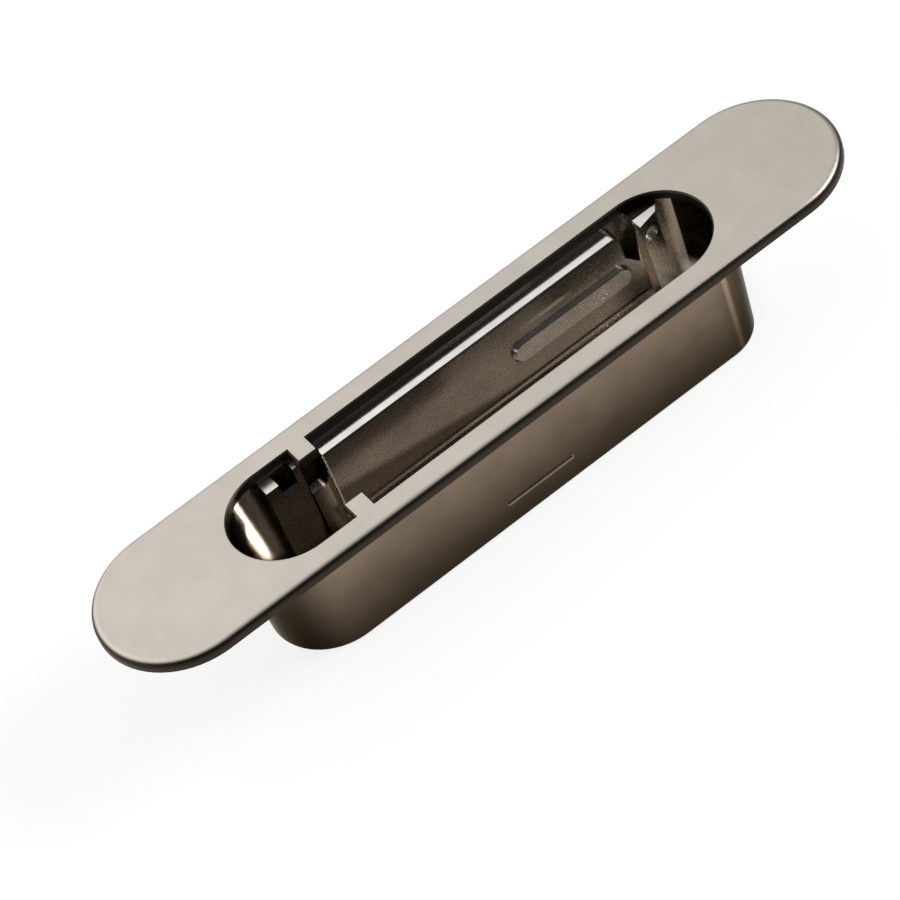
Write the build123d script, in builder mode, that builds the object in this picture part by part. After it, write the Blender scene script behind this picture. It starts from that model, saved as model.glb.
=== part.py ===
from build123d import *
import math
import os

os.makedirs("parts", exist_ok=True)

# Face plate, in millimetres
plate_length = 110.0
plate_width = 22.0
plate_thickness = 1.5
plate_edge_radius = 0.9
slot_length = 71.0
slot_width = 15.0
slot_edge_break = 0.2
tab_x = -21.4
tab_width = 2.9
tab_gap = 9.7

# Dust box: a drafted cup that hangs under the plate
box_length = 73.0
box_width = 18.0
box_depth = 16.5
box_draft = 3.0
latch_end_reach = 36.7
latch_corner_radius = 6.8
box_edge_radius = 0.8
floor_thickness = 1.7
rebate_depth = 0.2
rebate_clearance = 0.4

# Guides along one long side, each reaching in to this distance from the centre line
deadbolt_reach = 5.3
web_reach = 6.1
relief_reach = 7.3
guide_drop = 0.4
guide_foot = 3.5
cell_foot = 1.2
deadbolt_guide_length = 4.4
web_length = 3.6
latch_guide_length = 48.5
guide_edge_radius = 0.35
guide_lip_break = 0.25
guide_end_radius = 1.0

# Relief over the web, and the groove beside it
web_relief_length = 2.5
web_relief_depth = 6.4
web_relief_radius = 1.2
sill_rise = 0.6
groove_width = 0.5
groove_depth = 0.6

# Pocket behind the deadbolt guide's lip
pocket_length = 2.6
pocket_depth = 8.4
lip_drop = 2.4
lip_thickness = 0.6

# Keeper across the far corner of the latch end, and the notch beside it
keeper_reach = 3.6
keeper_radius = 5.5
keeper_angle = 52.0
keeper_recess_radius = 1.1
keeper_recess_x = 1.3
keeper_recess_drop = 2.5
keeper_recess_depth = 1.1
notch_width = 2.5
notch_sill = 4.4
notch_depth = 6.3
notch_lean = 0.9

# Raised pad on the latch guide's face
pad_length = 18.6
pad_height = 3.2
pad_proud = 0.6
pad_edge_break = 0.3
pad_drop = 6.4
pad_end = 2.6

# Lugs and ribs on the outside of the box
lug_width = 2.8
lug_drop = 2.9
lug_clearance = 0.1
rib_length = 10.0
rib_height = 0.35
rib_proud = 0.15
rib_lift = 4.0

# Levels above the underside of the box
seat_z = box_depth
rim_z = seat_z + rebate_depth
hollow_depth = rim_z - floor_thickness
slot_end = slot_length / 2 - slot_width / 2
draft_slope = math.tan(math.radians(box_draft))
box_draw = rim_z * draft_slope

# Stations of the guides along the box, from the deadbolt end
deadbolt_start = -slot_end
web_start = deadbolt_start + deadbolt_guide_length
latch_start = web_start + web_length
keeper_start = latch_start + latch_guide_length

# Hollow flush with the slot at the rim, narrower by the draft at the floor
rim_radius = slot_width / 2
floor_radius = rim_radius - hollow_depth * draft_slope
latch_reach = tab_gap / 2


def draw_box_outline(grow):
    # Round at the deadbolt end, squarer at the latch end
    SlotOverall(box_length + 2 * grow, box_width + 2 * grow)
    RectangleRounded(
        latch_end_reach + grow,
        box_width + 2 * grow,
        latch_corner_radius + grow,
        align=(Align.MIN, Align.CENTER),
    )


with BuildPart() as face_plate:
    # Round-ended blank with the round-ended slot and its two opposed tabs
    with BuildSketch(Plane.XY.offset(seat_z)):
        SlotOverall(plate_length, plate_width)
        SlotOverall(slot_length, slot_width, mode=Mode.SUBTRACT)
        with Locations((tab_x, (plate_width + tab_gap) / 4), (tab_x, -(plate_width + tab_gap) / 4)):
            Rectangle(tab_width, (plate_width - tab_gap) / 2)
    extrude(amount=plate_thickness)

    # Rounded outer edge, and a small break round the slot
    top_face = faces().sort_by(Axis.Z)[-1]
    fillet(top_face.outer_wire().edges(), plate_edge_radius)
    top_face = faces().sort_by(Axis.Z)[-1]
    chamfer(top_face.inner_wires()[0].edges(), slot_edge_break)

    # Shallow rebate underneath that the rim of the box sits in
    with BuildSketch(Plane.XY.offset(seat_z)):
        draw_box_outline(rebate_clearance)
    extrude(amount=rebate_depth, mode=Mode.SUBTRACT)


def cut_trough(start, end, reach, foot):
    # Channel along the box, from the drafted plain wall to a guide's upright face
    with BuildSketch(Plane.YZ.offset(start)) as channel:
        with BuildLine():
            Polyline(
                (-rim_radius, rim_z),
                (-floor_radius, floor_thickness),
                (reach, floor_thickness),
                (reach, rim_z),
                close=True,
            )
        make_face()
        fillet(channel.vertices().group_by(Axis.Y)[0].sort_by(Axis.X)[0], cell_foot)
        fillet(channel.vertices().group_by(Axis.Y)[0].sort_by(Axis.X)[-1], foot)
    extrude(channel.sketch, amount=end - start, mode=Mode.SUBTRACT)


def upright_plane(centre_x, centre_y, angle):
    # Section plane through the axis of a round, pointing out along the angle
    turn = math.radians(angle)
    outward = (math.cos(turn), math.sin(turn), 0)
    across = (math.sin(turn), -math.cos(turn), 0)
    return Plane(origin=(centre_x, centre_y, 0), x_dir=outward, z_dir=across)


def cut_round_end(centre_x, first_angle, sweep):
    # Drafted round end of the hollow, flush with the slot at the rim
    with BuildSketch(upright_plane(centre_x, 0, first_angle)) as half_section:
        with BuildLine():
            Polyline(
                (0, floor_thickness),
                (floor_radius, floor_thickness),
                (rim_radius, rim_z),
                (0, rim_z),
                close=True,
            )
        make_face()
        fillet(half_section.vertices().group_by(Axis.Y)[0].sort_by(Axis.X)[-1], cell_foot)
    upright = Axis((centre_x, 0, 0), (0, 0, 1))
    revolve(half_section.sketch, axis=upright, revolution_arc=sweep, mode=Mode.SUBTRACT)


def add_round_corner(centre_x, centre_y, top_radius, first_angle, sweep):
    # Drafted round of the outer block, as a slice of a cone
    with BuildSketch(upright_plane(centre_x, centre_y, first_angle)) as half_section:
        with BuildLine():
            Polyline(
                (0, 0),
                (top_radius - box_draw, 0),
                (top_radius, rim_z),
                (0, rim_z),
                close=True,
            )
        make_face()
    upright = Axis((centre_x, centre_y, 0), (0, 0, 1))
    revolve(half_section.sketch, axis=upright, revolution_arc=sweep)


with BuildPart() as lug_bars:
    # Bars across the box whose ends stand out as lugs, and centre the rim in the plate's rebate
    lug_proud = rebate_clearance - lug_clearance
    with BuildSketch(Plane.XY.offset(rim_z)):
        draw_box_outline(lug_proud)
    extrude(amount=-lug_drop)
    lug_z = rim_z - lug_drop + lug_width / 2
    with BuildSketch(Plane.XZ):
        with Locations((-slot_end, rim_z), (slot_end, rim_z)):
            Rectangle(lug_width, rim_z - lug_z, align=(Align.CENTER, Align.MAX))
        with Locations((-slot_end, lug_z), (slot_end, lug_z)):
            Circle(lug_width / 2)
    extrude(amount=box_width, both=True, mode=Mode.INTERSECT)


with BuildPart() as dust_box:
    # Drafted block, rim upwards: a straight run, a round end, and an end with two rounded corners
    round_x = (box_width - box_length) / 2
    corner_x = latch_end_reach - latch_corner_radius
    corner_y = box_width / 2 - latch_corner_radius
    with BuildSketch(Plane.YZ.offset(round_x)):
        Trapezoid(box_width, rim_z, 90 + box_draft, align=(Align.CENTER, Align.MIN))
    extrude(amount=corner_x - round_x)
    add_round_corner(round_x, 0, box_width / 2, 90, 180)
    add_round_corner(corner_x, corner_y, latch_corner_radius, 0, 90)
    add_round_corner(corner_x, -corner_y, latch_corner_radius, -90, 90)
    with BuildSketch(Plane.XZ):
        with BuildLine():
            Polyline(
                (corner_x, 0),
                (latch_end_reach - box_draw, 0),
                (latch_end_reach, rim_z),
                (corner_x, rim_z),
                close=True,
            )
        make_face()
    extrude(amount=corner_y, both=True)
    fillet(faces().sort_by(Axis.Z)[0].edges(), box_edge_radius)

    # Lugs at the ends of its long sides
    add(lug_bars.part)

    # Slim rib low on each long side
    rib_reach = box_width / 2 - (rim_z - rib_lift) * draft_slope + rib_proud
    with BuildSketch(Plane.XZ):
        with Locations((0, rib_lift)):
            SlotOverall(rib_length, rib_height)
    extrude(amount=rib_reach, both=True)

    # Hollow: round ends, with the guides left standing along one side between them
    cut_round_end(-slot_end, 90, 180)
    cut_round_end(slot_end, -90, 90 + keeper_angle)
    cut_trough(deadbolt_start, web_start, deadbolt_reach, cell_foot)
    cut_trough(web_start, latch_start, web_reach, cell_foot)
    cut_trough(latch_start, slot_end, latch_reach, guide_foot)

    # Rounded upright edge where the latch guide begins
    with BuildSketch(Plane.XY.offset(rim_z)):
        with Locations((latch_start, latch_reach)):
            Rectangle(2 * guide_edge_radius, 2 * guide_edge_radius)
        with Locations((latch_start + guide_edge_radius, latch_reach + guide_edge_radius)):
            Circle(guide_edge_radius, mode=Mode.SUBTRACT)
    extrude(amount=guide_foot - hollow_depth, mode=Mode.SUBTRACT)

    # Corner in front of the keeper, and a round recess in its face
    lean = math.radians(keeper_angle)
    keeper_end_x = slot_end + keeper_radius * math.cos(lean)
    keeper_end_y = keeper_radius * math.sin(lean)
    with BuildSketch(Plane.XY.offset(rim_z)):
        with BuildLine():
            Polyline(
                (slot_end, 0),
                (slot_end, latch_reach),
                (keeper_start, latch_reach),
                (keeper_start, keeper_reach),
                (keeper_end_x, keeper_end_y),
                close=True,
            )
        make_face()
    extrude(amount=-hollow_depth, mode=Mode.SUBTRACT)
    with BuildSketch(Plane.XZ):
        with Locations((keeper_start + keeper_recess_x, rim_z - keeper_recess_drop)):
            Circle(keeper_recess_radius)
    extrude(amount=-(keeper_reach + keeper_recess_depth), mode=Mode.SUBTRACT)

    # Tops of the guides, stepped down clear of the plate
    with BuildSketch(Plane.XY.offset(rim_z)):
        with Locations((deadbolt_start, 0)):
            Rectangle(keeper_start - deadbolt_start, relief_reach, align=(Align.MIN, Align.MIN))
    extrude(amount=-guide_drop, mode=Mode.SUBTRACT)

    # Notch between the latch guide and the keeper
    with BuildSketch(Plane.XZ):
        with BuildLine():
            Polyline(
                (keeper_start - notch_width, rim_z),
                (keeper_start, rim_z),
                (keeper_start - notch_lean, rim_z - notch_depth),
                (keeper_start - notch_width, rim_z - notch_sill),
                close=True,
            )
        make_face()
    extrude(amount=-relief_reach, mode=Mode.SUBTRACT)

    # Rounded end of the latch guide at the notch, and a broken edge along its top
    guide_z = rim_z - guide_drop
    notch_side = edges().filter_by(Axis.Y).filter_by_position(Axis.Z, guide_z, guide_z)
    notch_start = keeper_start - notch_width
    fillet(notch_side.filter_by_position(Axis.X, notch_start, notch_start), guide_end_radius)
    guide_lip = edges().filter_by(Axis.X).filter_by_position(Axis.Z, guide_z, guide_z)
    chamfer(guide_lip.filter_by_position(Axis.Y, latch_reach, latch_reach), guide_lip_break)

    # Relief over the web with a sloping sill, rounded into the end of the latch guide
    relief_start = latch_start - web_relief_length
    sill_z = rim_z - web_relief_depth
    with BuildSketch(Plane.YZ.offset(relief_start)):
        with BuildLine():
            Polyline(
                (web_reach, rim_z),
                (web_reach, sill_z),
                (relief_reach, sill_z + sill_rise),
                (relief_reach, rim_z),
                close=True,
            )
        make_face()
    extrude(amount=web_relief_length, mode=Mode.SUBTRACT)
    sill = faces().filter_by_position(Axis.Z, sill_z, sill_z + sill_rise)
    sill = sill.filter_by_position(Axis.X, relief_start, latch_start)
    fillet(sill.edges().sort_by(Axis.X)[-1], web_relief_radius)

    # Groove beside the web's relief
    with BuildSketch(Plane.XY.offset(rim_z)):
        with Locations((relief_start, web_reach)):
            Rectangle(groove_width, groove_depth, align=(Align.MAX, Align.MIN))
    extrude(amount=-hollow_depth, mode=Mode.SUBTRACT)

    # Lip of the deadbolt guide, cut down over its pocket
    pocket_start = web_start - pocket_length
    with BuildSketch(Plane.XZ):
        with Locations((pocket_start, rim_z)):
            Rectangle(pocket_length, lip_drop, align=(Align.MIN, Align.MAX))
    extrude(amount=-relief_reach, mode=Mode.SUBTRACT)
    with BuildSketch(Plane.XY.offset(rim_z)):
        with Locations((pocket_start, relief_reach)):
            pocket_width = relief_reach - deadbolt_reach - lip_thickness
            Rectangle(pocket_length, pocket_width, align=(Align.MIN, Align.MAX))
    extrude(amount=-pocket_depth, mode=Mode.SUBTRACT)

    # Raised pad with broken edges on the latch guide's face
    pad_x = keeper_start - pad_end - pad_length / 2
    with BuildSketch(Plane.XZ.offset(-latch_reach)):
        with Locations((pad_x, rim_z - pad_drop)):
            SlotOverall(pad_length, pad_height)
    extrude(amount=pad_proud)
    pad_y = latch_reach - pad_proud
    pad_face = faces().filter_by(Axis.Y).filter_by_position(Axis.Y, pad_y, pad_y)
    chamfer(pad_face.edges(), pad_edge_break)


face_plate.part.label = "face_plate"
export_step(face_plate.part, "parts/face_plate.step")

dust_box.part.label = "dust_box"
export_step(dust_box.part, "parts/dust_box.step")
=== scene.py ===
import bpy
from mathutils import Matrix, Vector

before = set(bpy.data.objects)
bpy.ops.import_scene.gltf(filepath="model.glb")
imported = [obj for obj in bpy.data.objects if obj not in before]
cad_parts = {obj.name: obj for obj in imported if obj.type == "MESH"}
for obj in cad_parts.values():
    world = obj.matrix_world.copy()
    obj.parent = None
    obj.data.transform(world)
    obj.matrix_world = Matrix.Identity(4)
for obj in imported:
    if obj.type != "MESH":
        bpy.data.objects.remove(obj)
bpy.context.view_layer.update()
print("frame loaded:", sorted(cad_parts))

scene = bpy.context.scene
scene.view_settings.view_transform = "Standard"

mm = 0.001
noiseSpan = (0.3, 0.7)   # where nearly all of a noise's values lie

# the photograph's viewing angle, in metres in the part's own frame
viewpoint = {
    "place": (-0.110985, -0.318860, 0.367000),
    "right": (0.782497, -0.560717, -0.270731),
    "up": (0.585024, 0.513209, 0.627983),
    "lens": 162.381,   # mm, for the sensor below
    "sensor": 36.0,    # mm
    "nearest": 0.01,
}

cameraData = bpy.data.cameras.new("viewpoint")
cameraData.lens = viewpoint["lens"]
cameraData.sensor_fit = "HORIZONTAL"
cameraData.sensor_width = viewpoint["sensor"]
cameraData.clip_start = viewpoint["nearest"]
camera = bpy.data.objects.new("viewpoint", cameraData)
scene.collection.objects.link(camera)
right = Vector(viewpoint["right"]).normalized()
back = right.cross(Vector(viewpoint["up"])).normalized()
up = back.cross(right)
turn = Matrix((right, up, back)).transposed().to_4x4()
camera.matrix_world = Matrix.Translation(viewpoint["place"]) @ turn
scene.camera = camera
print("camera set")


def hexToLinear(code):
    parts = [int(code[i:i + 2], 16) / 255.0 for i in (1, 3, 5)]
    linear = [c / 12.92 if c <= 0.04045 else ((c + 0.055) / 1.055) ** 2.4 for c in parts]
    return (*linear, 1.0)


def addNode(tree, kind, settings=None, values=None, links=None):
    node = tree.nodes.new(kind)
    for name, value in (settings or {}).items():
        setattr(node, name, value)
    for name, value in (values or {}).items():
        node.inputs[name].default_value = value
    for name, source in (links or {}).items():
        tree.links.new(source, node.inputs[name])
    return node


def newMaterial(name):
    material = bpy.data.materials.new(name)
    material.use_nodes = True
    material.node_tree.nodes.clear()
    return material, material.node_tree


# stamped plate in satin nickel: a soft even sheen over a fine blasted grain,
# with painted shade: a dark tone where the blanked edge turns over
satinNickel = {
    "face": "#bdb6ad",
    "edge": "#39322b",
    "edgeTurn": (0.7, 0.99),          # how far a face points up, from the edge's painted-shade tone to the face's
    "grain": (0.12 * mm, 2.0, 0.6),   # a pattern's size, detail and share of fine detail
    "cloud": (5.0 * mm, 3.0, 0.55),
    "cloudTone": (0.95, 1.04),
    "grainRough": (0.38, 0.46),
    "grainBump": 0.12,
    "grainDepth": 0.02 * mm,
}


def makeSatinNickel():
    material, tree = newMaterial("satin_nickel_plate")
    place = addNode(tree, "ShaderNodeTexCoord").outputs["Object"]
    noise = {}
    for name in ("grain", "cloud"):
        size, detail, fine = satinNickel[name]
        noise[name] = addNode(tree, "ShaderNodeTexNoise",
                              values={"Scale": 1 / size, "Detail": detail, "Roughness": fine},
                              links={"Vector": place}).outputs["Fac"]
    normal = addNode(tree, "ShaderNodeNewGeometry").outputs["Normal"]
    facing = addNode(tree, "ShaderNodeSeparateXYZ", links={"Vector": normal}).outputs["Z"]
    upward = addNode(tree, "ShaderNodeMapRange", {"interpolation_type": "SMOOTHSTEP"},
                     {"From Min": satinNickel["edgeTurn"][0], "From Max": satinNickel["edgeTurn"][1]},
                     {"Value": facing}).outputs["Result"]
    # painted shade: the edge's dark tone where a face turns away from up
    colour = addNode(tree, "ShaderNodeMix", {"data_type": "RGBA"},
                     {6: hexToLinear(satinNickel["edge"]), 7: hexToLinear(satinNickel["face"])},
                     {"Factor": upward}).outputs[2]
    tone = addNode(tree, "ShaderNodeMapRange",
                   values={"From Min": noiseSpan[0], "From Max": noiseSpan[1],
                           "To Min": satinNickel["cloudTone"][0], "To Max": satinNickel["cloudTone"][1]},
                   links={"Value": noise["cloud"]}).outputs["Result"]
    mottled = addNode(tree, "ShaderNodeVectorMath", {"operation": "SCALE"},
                      links={0: colour, "Scale": tone}).outputs["Vector"]
    rough = addNode(tree, "ShaderNodeMapRange",
                    values={"From Min": noiseSpan[0], "From Max": noiseSpan[1],
                            "To Min": satinNickel["grainRough"][0], "To Max": satinNickel["grainRough"][1]},
                    links={"Value": noise["grain"]}).outputs["Result"]
    bump = addNode(tree, "ShaderNodeBump",
                   values={"Strength": satinNickel["grainBump"], "Distance": satinNickel["grainDepth"]},
                   links={"Height": noise["grain"]}).outputs["Normal"]
    shader = addNode(tree, "ShaderNodeBsdfPrincipled", values={"Metallic": 1.0},
                     links={"Base Color": mottled, "Roughness": rough, "Normal": bump})
    addNode(tree, "ShaderNodeOutputMaterial", links={"Surface": shader.outputs["BSDF"]})
    return material


# zinc casting plated in nickel: glossy in the hollow and satin on the latch guide; painted highlights on
# upward faces near the rim, the pad, lines and edges, painted light across from the guide and at the keeper,
# and painted shade outside, round both ends, on the latch guide, in the deadbolt cell and in the recesses
castNickel = {
    "insideTone": "#b5ada4",
    # near and keeper tones: painted light, lighter so the guide and the latch end reflect more
    "nearTone": "#c5bcb3",
    "keeperTone": "#d9d3ca",
    # ledge and highlight tones: painted highlights
    "ledgeTone": "#d3d0ca",
    "highlightTone": "#e2ded8",
    # painted shade tone: the deadbolt cell's far side and parts of the latch guide
    "paintedShadeTone": "#5a5148",
    # near-black tone: painted shade at the latch end's upper wall, the relief's back and behind the keeper's
    # top
    "nearBlackShadeTone": "#231f1b",
    # outside and foot tones: painted shade, the outer skin darker than the hollow and darker still towards
    # the foot
    "ribTone": "#7d7061",
    "outsideTone": "#837362",
    "footTone": "#352c23",
    "edgeTint": "#cac5bf",                 # the plating stays dark at a glancing view

    "straight": 28.0 * mm,                 # half the straight run between the round ends
    "rise": (0.0, 16.7 * mm),              # from the underside to the rim
    "skin": (7.4 * mm, 8.3 * mm),          # between the hollow and the outer skin, at the foot and at the rim
    "footTop": 1.2 * mm,                   # the underside and its rounded edge are outer skin too
    "upward": (0.6, 0.95),                 # how far a face points up, from leaning to level
    "upright": (0.2, 0.6),
    "steep": 0.3,

    "endFade": (29.0 * mm, 34.5 * mm),     # painted shade: both ends go darker, by this much at last
    "endDim": 0.24,
    "cornerPlace": 31.2 * mm,              # painted highlight line where the latch end turns
    "cornerFade": (0.0, 0.7 * mm),
    "cornerHighlight": 1.15,
    "rib": {"X": (-5.1 * mm, 5.1 * mm), "Z": (3.75 * mm, 4.25 * mm)},

    "guideIn": (-20.0 * mm, -19.6 * mm),   # the latch guide, along the part and across it
    "guideOut": (27.0 * mm, 28.0 * mm),
    "guideSide": (4.2 * mm, 4.7 * mm),
    "nearSide": (2.0 * mm, 4.0 * mm),      # painted light: the wall across from the guide is brighter, so the guide mirrors more light
    "wedgeLean": 0.155,                    # painted shade: a dark wedge along the guide's foot, and the slope of its top
    "wedgeTop": (6.1 * mm, 7.6 * mm),
    "wedgeShade": 0.84,
    "shadeRise": (11.6 * mm, 14.4 * mm),   # painted shade again under the guide's top, towards both its ends
    "shadeMiddle": 6.0 * mm,
    "shadeRun": (5.0 * mm, 10.0 * mm),
    "shadeDepth": 0.68,
    "creaseDark": (5.5 * mm, 0.2 * mm),    # painted shade on the crease where the guide turns into its foot: height and half width
    # painted highlight along the crease, a little lower: height and half width
    "creaseBright": (4.92 * mm, 0.22 * mm),
    "creaseRun": (-20.0 * mm, 6.0 * mm),
    "creaseFaint": 0.35,
    "strokeBand": (13.5 * mm, 0.3 * mm),   # faint painted highlight stroke above the pad: height and half width
    "strokeIn": (7.0 * mm, 15.0 * mm),
    "strokeOut": (15.5 * mm, 18.0 * mm),
    # painted highlight: the pad lighter
    "pad": {"X": (7.0 * mm, 26.2 * mm), "Y": (4.1 * mm, 4.75 * mm), "Z": (8.4 * mm, 16.7 * mm)},
    "edge": {"X": (-20.05 * mm, -19.65 * mm), "Y": (4.8 * mm, 5.25 * mm)},     # painted highlight on the guide's first edge
    "ledgeRise": (14.0 * mm, 15.5 * mm),   # upward faces above this are ledges, lighter as painted highlight

    "cellShadeIn": (-30.0 * mm, -27.8 * mm),    # painted shade on the deadbolt cell's far side
    "cellShadeOut": (-22.3 * mm, -19.6 * mm),
    "cellShadeSide": (2.0 * mm, 5.0 * mm),
    "relief": {"X": (-22.55 * mm, -19.95 * mm), "Y": (6.3 * mm, 10.0 * mm)},   # in the web, with its sill: painted shade on its back, painted highlight on the sill
    "endShadeLean": 0.78,                      # slope of the painted-shade patch's border across the latch end
    "endShadeFront": (0.0, 0.3 * mm),
    "endShadePast": (28.0 * mm, 29.0 * mm),
    "endShadeRise": (4.5 * mm, 7.0 * mm),
    # the keeper: behind its top, painted shade
    "keeperIn": (28.0 * mm, 28.4 * mm),
    "keeperBack": {"Y": (5.3 * mm, 10.0 * mm)},

    "wave": (3.0 * mm, 2.0, 0.55),         # a pattern's size, detail and share of fine detail
    "cloud": (6.0 * mm, 3.0, 0.55),
    "pits": (0.25 * mm, 2.0, 0.55),
    "cloudTone": (0.9, 1.07),
    "glossyRough": (0.10, 0.15),
    "satinRough": (0.26, 0.29),
    "waveBump": 0.018,
    "waveDepth": 0.05 * mm,
}


def makeCastNickel():
    material, tree = newMaterial("cast_nickel_box")
    place = addNode(tree, "ShaderNodeTexCoord").outputs["Object"]
    axes = addNode(tree, "ShaderNodeSeparateXYZ", links={"Vector": place}).outputs
    normal = addNode(tree, "ShaderNodeNewGeometry").outputs["Normal"]
    facing = addNode(tree, "ShaderNodeSeparateXYZ", links={"Vector": normal}).outputs["Z"]
    noise = {}
    for name in ("wave", "cloud", "pits"):
        size, detail, fine = castNickel[name]
        noise[name] = addNode(tree, "ShaderNodeTexNoise",
                              values={"Scale": 1 / size, "Detail": detail, "Roughness": fine},
                              links={"Vector": place}).outputs["Fac"]

    # distance from the centre line of the hollow, which runs between the centres of the round ends
    along = addNode(tree, "ShaderNodeMath", {"operation": "ABSOLUTE"}, links={0: axes["X"]}).outputs["Value"]
    beyond = addNode(tree, "ShaderNodeMath", {"operation": "SUBTRACT"}, {1: castNickel["straight"]},
                     {0: along}).outputs["Value"]
    past = addNode(tree, "ShaderNodeMath", {"operation": "MAXIMUM"}, {1: 0.0}, {0: beyond}).outputs["Value"]
    spoke = addNode(tree, "ShaderNodeCombineXYZ", links={"X": past, "Y": axes["Y"]}).outputs["Vector"]
    reach = addNode(tree, "ShaderNodeVectorMath", {"operation": "LENGTH"}, links={0: spoke}).outputs["Value"]
    wall = addNode(tree, "ShaderNodeMapRange",
                   values={"From Min": castNickel["rise"][0], "From Max": castNickel["rise"][1],
                           "To Min": castNickel["skin"][0], "To Max": castNickel["skin"][1]},
                   links={"Value": axes["Z"]}).outputs["Result"]
    outer = addNode(tree, "ShaderNodeMath", {"operation": "GREATER_THAN"},
                    links={0: reach, 1: wall}).outputs["Value"]
    under = addNode(tree, "ShaderNodeMath", {"operation": "LESS_THAN"}, {1: castNickel["footTop"]},
                    {0: axes["Z"]}).outputs["Value"]
    steep = addNode(tree, "ShaderNodeMath", {"operation": "LESS_THAN"}, {1: castNickel["steep"]},
                    {0: facing}).outputs["Value"]

    # distances off the middle of the painted shade and off the latch end's turn, and past the leaning lines
    # of the painted-shade wedge and of the near-black painted-shade patch
    measures = {"X": axes["X"], "Y": axes["Y"], "Z": axes["Z"], "along": along, "facing": facing}
    for name, middle in (("offMiddle", "shadeMiddle"), ("offCorner", "cornerPlace")):
        shifted = addNode(tree, "ShaderNodeMath", {"operation": "SUBTRACT"}, {1: castNickel[middle]},
                          {0: axes["X"]}).outputs["Value"]
        measures[name] = addNode(tree, "ShaderNodeMath", {"operation": "ABSOLUTE"},
                                 links={0: shifted}).outputs["Value"]
    measures["wedgeLine"] = addNode(tree, "ShaderNodeMath", {"operation": "MULTIPLY_ADD"},
                                    {1: castNickel["wedgeLean"]},
                                    {0: axes["X"], 2: axes["Z"]}).outputs["Value"]
    latchEnd = addNode(tree, "ShaderNodeMath", {"operation": "SUBTRACT"}, {1: castNickel["straight"]},
                       {0: axes["X"]}).outputs["Value"]
    border = addNode(tree, "ShaderNodeMath", {"operation": "MULTIPLY"}, {1: castNickel["endShadeLean"]},
                     {0: latchEnd}).outputs["Value"]
    measures["inFront"] = addNode(tree, "ShaderNodeMath", {"operation": "SUBTRACT"},
                                  links={0: border, 1: axes["Y"]}).outputs["Value"]

    # soft ramps: each goes from its first share to its last over its span
    shares = {"outer": outer, "under": under, "steep": steep}
    for name, measure, first, last in (
            ("rise", "Z", 0.0, 1.0),
            ("upward", "facing", 0.0, 1.0),
            ("upright", "facing", 1.0, 0.0),
            ("endFade", "along", 1.0, castNickel["endDim"]),
            ("cornerFade", "offCorner", 1.0, 0.0),
            ("guideIn", "X", 0.0, 1.0),
            ("guideOut", "X", 1.0, 0.0),
            ("guideSide", "Y", 0.0, 1.0),
            ("nearSide", "Y", 1.0, 0.0),
            ("wedgeTop", "wedgeLine", castNickel["wedgeShade"], 0.0),
            ("shadeRise", "Z", 0.0, castNickel["shadeDepth"]),
            ("shadeRun", "offMiddle", 0.0, 1.0),
            ("creaseRun", "X", castNickel["creaseFaint"], 1.0),
            ("strokeIn", "X", 0.0, 1.0),
            ("strokeOut", "X", 1.0, 0.0),
            ("ledgeRise", "Z", 0.0, 1.0),
            ("cellShadeIn", "X", 0.0, 1.0),
            ("cellShadeOut", "X", 1.0, 0.0),
            ("cellShadeSide", "Y", 0.0, 1.0),
            ("endShadeFront", "inFront", 0.0, 1.0),
            ("endShadePast", "X", 0.0, 1.0),
            ("endShadeRise", "Z", 0.0, 1.0),
            ("keeperIn", "X", 0.0, 1.0)):
        low, high = castNickel[name]
        shares[name] = addNode(tree, "ShaderNodeMapRange", {"interpolation_type": "SMOOTHSTEP"},
                               {"From Min": low, "From Max": high, "To Min": first, "To Max": last},
                               {"Value": measures[measure]}).outputs["Result"]

    # thin level bands, and boxes with hard sides
    for name in ("creaseDark", "creaseBright", "strokeBand"):
        middle, half = castNickel[name]
        shares[name] = addNode(tree, "ShaderNodeMath", {"operation": "COMPARE"}, {1: middle, 2: half},
                               {0: axes["Z"]}).outputs["Value"]
    for name in ("rib", "pad", "edge", "relief", "keeperBack"):
        held = None
        for axis, span in castNickel[name].items():
            for side, limit in zip(("GREATER_THAN", "LESS_THAN"), span):
                test = addNode(tree, "ShaderNodeMath", {"operation": side}, {1: limit},
                               {0: axes[axis]}).outputs["Value"]
                if held is None:
                    held = test
                else:
                    held = addNode(tree, "ShaderNodeMath", {"operation": "MULTIPLY"},
                                   links={0: held, 1: test}).outputs["Value"]
        shares[name] = held

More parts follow.
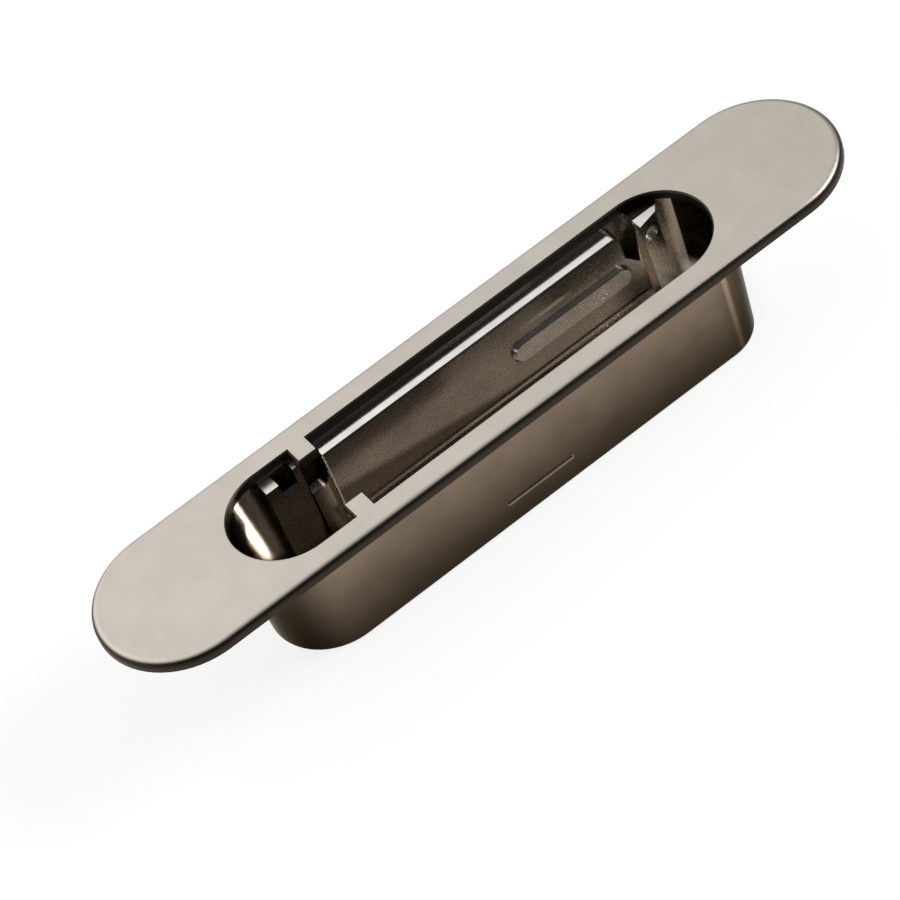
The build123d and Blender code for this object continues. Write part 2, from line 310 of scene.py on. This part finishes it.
    for name, operation, first, second in (
            ("skin", "MAXIMUM", "outer", "under"),
            # painted shade on the deadbolt cell's far side, and on the latch guide at its foot and under its
            # top
            ("cellShadeRun", "MULTIPLY", "cellShadeIn", "cellShadeOut"),
            ("cellShade", "MULTIPLY", "cellShadeRun", "cellShadeSide"),
            ("guideRun", "MULTIPLY", "guideIn", "guideOut"),
            ("guideArea", "MULTIPLY", "guideRun", "guideSide"),
            ("shade", "MULTIPLY", "shadeRise", "shadeRun"),
            ("shaded", "MAXIMUM", "wedgeTop", "shade"),
            ("guideDark", "MAXIMUM", "shaded", "creaseDark"),
            ("guideShade", "MULTIPLY", "guideArea", "guideDark"),
            ("paintedShade", "MAXIMUM", "cellShade", "guideShade"),
            ("nearArea", "MULTIPLY", "guideRun", "nearSide"),
            # painted shade, near black, on the upper wall of the latch end, up to a border that leans across
            # it, at the back of the web's relief and behind the keeper's top
            ("endShadeSide", "MULTIPLY", "endShadeFront", "endShadePast"),
            ("endShade", "MULTIPLY", "endShadeSide", "endShadeRise"),
            ("reliefBack", "MULTIPLY", "relief", "steep"),
            ("wallShade", "MAXIMUM", "endShade", "reliefBack"),
            ("keeperTop", "MULTIPLY", "keeperIn", "upward"),
            ("keeperTopShade", "MULTIPLY", "keeperTop", "keeperBack"),
            ("blackShade", "MAXIMUM", "wallShade", "keeperTopShade"),
            # painted highlights: lighter on upward faces near the rim, on the crease, the stroke and the pad,
            # along the latch guide's first edge and on the relief's sill
            ("rimTop", "MULTIPLY", "upward", "ledgeRise"),
            ("ledge", "SUBTRACT", "rimTop", "keeperTopShade"),
            ("creaseLong", "MULTIPLY", "guideArea", "creaseRun"),
            ("crease", "MULTIPLY", "creaseLong", "creaseBright"),
            ("strokeLong", "MULTIPLY", "strokeIn", "strokeOut"),
            ("strokeArea", "MULTIPLY", "strokeLong", "guideArea"),
            ("stroke", "MULTIPLY", "strokeArea", "strokeBand"),
            ("lines", "MAXIMUM", "crease", "stroke"),
            ("padAndLines", "MAXIMUM", "pad", "lines"),
            ("sill", "MULTIPLY", "relief", "upward"),
            ("edgeAndSill", "MAXIMUM", "edge", "sill"),
            ("paintedHighlight", "MAXIMUM", "padAndLines", "edgeAndSill"),
            # satin on the latch guide's upright face, the keeper, the shaded cell and the outside
            ("guideFace", "MULTIPLY", "guideRun", "upright"),
            ("satinIn", "MAXIMUM", "guideFace", "keeperIn"),
            ("satinCell", "MAXIMUM", "satinIn", "cellShade"),
            ("satin", "MAXIMUM", "satinCell", "skin")):
        shares[name] = addNode(tree, "ShaderNodeMath", {"operation": operation, "use_clamp": True},
                               links={0: shares[first], 1: shares[second]}).outputs["Value"]

    # outer skin: painted shade, darker towards the foot and round the ends, with a painted highlight line at
    # the latch end's turn and painted highlights on the rib
    skinShade = addNode(tree, "ShaderNodeMix", {"data_type": "RGBA"},
                    {6: hexToLinear(castNickel["footTone"]), 7: hexToLinear(castNickel["outsideTone"])},
                    {"Factor": shares["rise"]}).outputs[2]
    # painted highlight: a light line where the latch end turns, over the painted shade of the ends
    turned = addNode(tree, "ShaderNodeMath", {"operation": "MULTIPLY_ADD"}, {1: castNickel["cornerHighlight"]},
                     {0: shares["cornerFade"], 2: shares["endFade"]}).outputs["Value"]
    faded = addNode(tree, "ShaderNodeVectorMath", {"operation": "SCALE"},
                    links={0: skinShade, "Scale": turned}).outputs["Vector"]
    # painted highlight: the rib lighter, lightest on its upward faces
    ribHighlight = addNode(tree, "ShaderNodeMix", {"data_type": "RGBA"},
                      {6: hexToLinear(castNickel["ribTone"]), 7: hexToLinear(castNickel["highlightTone"])},
                      {"Factor": shares["upward"]}).outputs[2]
    outside = addNode(tree, "ShaderNodeMix", {"data_type": "RGBA"},
                      links={"Factor": shares["rib"], 6: faded, 7: ribHighlight}).outputs[2]

    # the hollow: each tone lies over the one before; the near and keeper tones are painted light, the shade
    # tones painted shade, the ledge and highlight tones painted highlights
    inside = addNode(tree, "ShaderNodeMix", {"data_type": "RGBA"},
                     {6: hexToLinear(castNickel["insideTone"]), 7: hexToLinear(castNickel["keeperTone"])},
                     {"Factor": shares["keeperIn"]}).outputs[2]
    for share, finish in (("nearArea", "nearTone"), ("paintedShade", "paintedShadeTone"), ("blackShade", "nearBlackShadeTone"),
                          ("ledge", "ledgeTone"), ("paintedHighlight", "highlightTone")):
        inside = addNode(tree, "ShaderNodeMix", {"data_type": "RGBA"}, {7: hexToLinear(castNickel[finish])},
                         {"Factor": shares[share], 6: inside}).outputs[2]

    colour = addNode(tree, "ShaderNodeMix", {"data_type": "RGBA"},
                     links={"Factor": shares["skin"], 6: inside, 7: outside}).outputs[2]
    tone = addNode(tree, "ShaderNodeMapRange", {"interpolation_type": "SMOOTHSTEP"},
                   {"From Min": noiseSpan[0], "From Max": noiseSpan[1],
                    "To Min": castNickel["cloudTone"][0], "To Max": castNickel["cloudTone"][1]},
                   {"Value": noise["cloud"]}).outputs["Result"]
    mottled = addNode(tree, "ShaderNodeVectorMath", {"operation": "SCALE"},
                      links={0: colour, "Scale": tone}).outputs["Vector"]

    sheens = {}
    for name in ("glossyRough", "satinRough"):
        sheens[name] = addNode(tree, "ShaderNodeMapRange",
                               values={"From Min": noiseSpan[0], "From Max": noiseSpan[1],
                                       "To Min": castNickel[name][0], "To Max": castNickel[name][1]},
                               links={"Value": noise["pits"]}).outputs["Result"]
    rough = addNode(tree, "ShaderNodeMix", {"data_type": "FLOAT"},
                    links={"Factor": shares["satin"], 2: sheens["glossyRough"],
                           3: sheens["satinRough"]}).outputs[0]
    bump = addNode(tree, "ShaderNodeBump",
                   values={"Strength": castNickel["waveBump"], "Distance": castNickel["waveDepth"]},
                   links={"Height": noise["wave"]}).outputs["Normal"]
    shader = addNode(tree, "ShaderNodeBsdfPrincipled",
                     values={"Metallic": 1.0, "Specular Tint": hexToLinear(castNickel["edgeTint"])},
                     links={"Base Color": mottled, "Roughness": rough, "Normal": bump})
    addNode(tree, "ShaderNodeOutputMaterial", links={"Surface": shader.outputs["BSDF"]})
    return material


def dress(node, material):
    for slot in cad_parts[node].material_slots:
        slot.material = material


dress("face_plate", makeSatinNickel())
dress("dust_box", makeCastNickel())
print("materials on the CAD nodes")


# plain pale floor under soft studio light, brighter behind than in front
studio = {
    "floor": "#f8f7f5",
    "floorSide": 3.0,
    "floorLevel": -0.05 * mm,             # a hair below the underside, so the two faces don't coincide
    "floorGlow": 0.85,                    # share of plain white that the camera and the metal see in it
    "glowWay": (-0.5, 0.6, 0.62),         # towards the brightest part of the room
    "glowSpan": (0.2, 1.0),
    "glow": 2.05,
    "dim": 0.06,
    "stripPlace": (0.43, -0.155, 0.42),   # small softbox on the right
    "stripSize": (0.28, 0.14),
    "stripWatts": 3.3,
}


def makeFloor():
    half = studio["floorSide"] / 2
    level = studio["floorLevel"]
    corners = [(-half, -half, level), (half, -half, level), (half, half, level), (-half, half, level)]
    mesh = bpy.data.meshes.new("floor")
    mesh.from_pydata(corners, [], [(0, 1, 2, 3)])
    floor = bpy.data.objects.new("floor", mesh)
    scene.collection.objects.link(floor)
    material, tree = newMaterial("floor_paper")
    paper = addNode(tree, "ShaderNodeBsdfDiffuse", values={"Color": hexToLinear(studio["floor"])})
    white = addNode(tree, "ShaderNodeEmission", values={"Strength": 1.0})
    path = addNode(tree, "ShaderNodeLightPath").outputs
    seen = addNode(tree, "ShaderNodeMath", {"operation": "MAXIMUM"},
                   links={0: path["Is Camera Ray"], 1: path["Is Glossy Ray"]}).outputs["Value"]
    shown = addNode(tree, "ShaderNodeMath", {"operation": "MAXIMUM"},
                    links={0: seen, 1: path["Is Transmission Ray"]}).outputs["Value"]
    share = addNode(tree, "ShaderNodeMath", {"operation": "MULTIPLY"}, {1: studio["floorGlow"]},
                    {0: shown}).outputs["Value"]
    mixed = addNode(tree, "ShaderNodeMixShader",
                    links={0: share, 1: paper.outputs["BSDF"], 2: white.outputs["Emission"]})
    addNode(tree, "ShaderNodeOutputMaterial", links={"Surface": mixed.outputs["Shader"]})
    mesh.materials.append(material)


def makeWorld():
    world = bpy.data.worlds.new("studio")
    world.use_nodes = True
    tree = world.node_tree
    tree.nodes.clear()
    way = addNode(tree, "ShaderNodeTexCoord").outputs["Generated"]
    toward = addNode(tree, "ShaderNodeVectorMath", {"operation": "DOT_PRODUCT"},
                     {1: Vector(studio["glowWay"]).normalized()}, {0: way}).outputs["Value"]
    level = addNode(tree, "ShaderNodeMapRange", {"interpolation_type": "SMOOTHSTEP"},
                    {"From Min": studio["glowSpan"][0], "From Max": studio["glowSpan"][1],
                     "To Min": studio["dim"], "To Max": studio["glow"]},
                    {"Value": toward}).outputs["Result"]
    sky = addNode(tree, "ShaderNodeBackground", links={"Strength": level})
    addNode(tree, "ShaderNodeOutputWorld", links={"Surface": sky.outputs["Background"]})
    scene.world = world


def makeStrip():
    lampData = bpy.data.lights.new("strip", "AREA")
    lampData.shape = "RECTANGLE"
    lampData.size, lampData.size_y = studio["stripSize"]
    lampData.energy = studio["stripWatts"]
    lamp = bpy.data.objects.new("strip", lampData)
    scene.collection.objects.link(lamp)
    lamp.location = studio["stripPlace"]
    lamp.rotation_euler = (-Vector(studio["stripPlace"])).to_track_quat("-Z", "Y").to_euler()


makeFloor()
makeWorld()
makeStrip()
print("floor and light set")
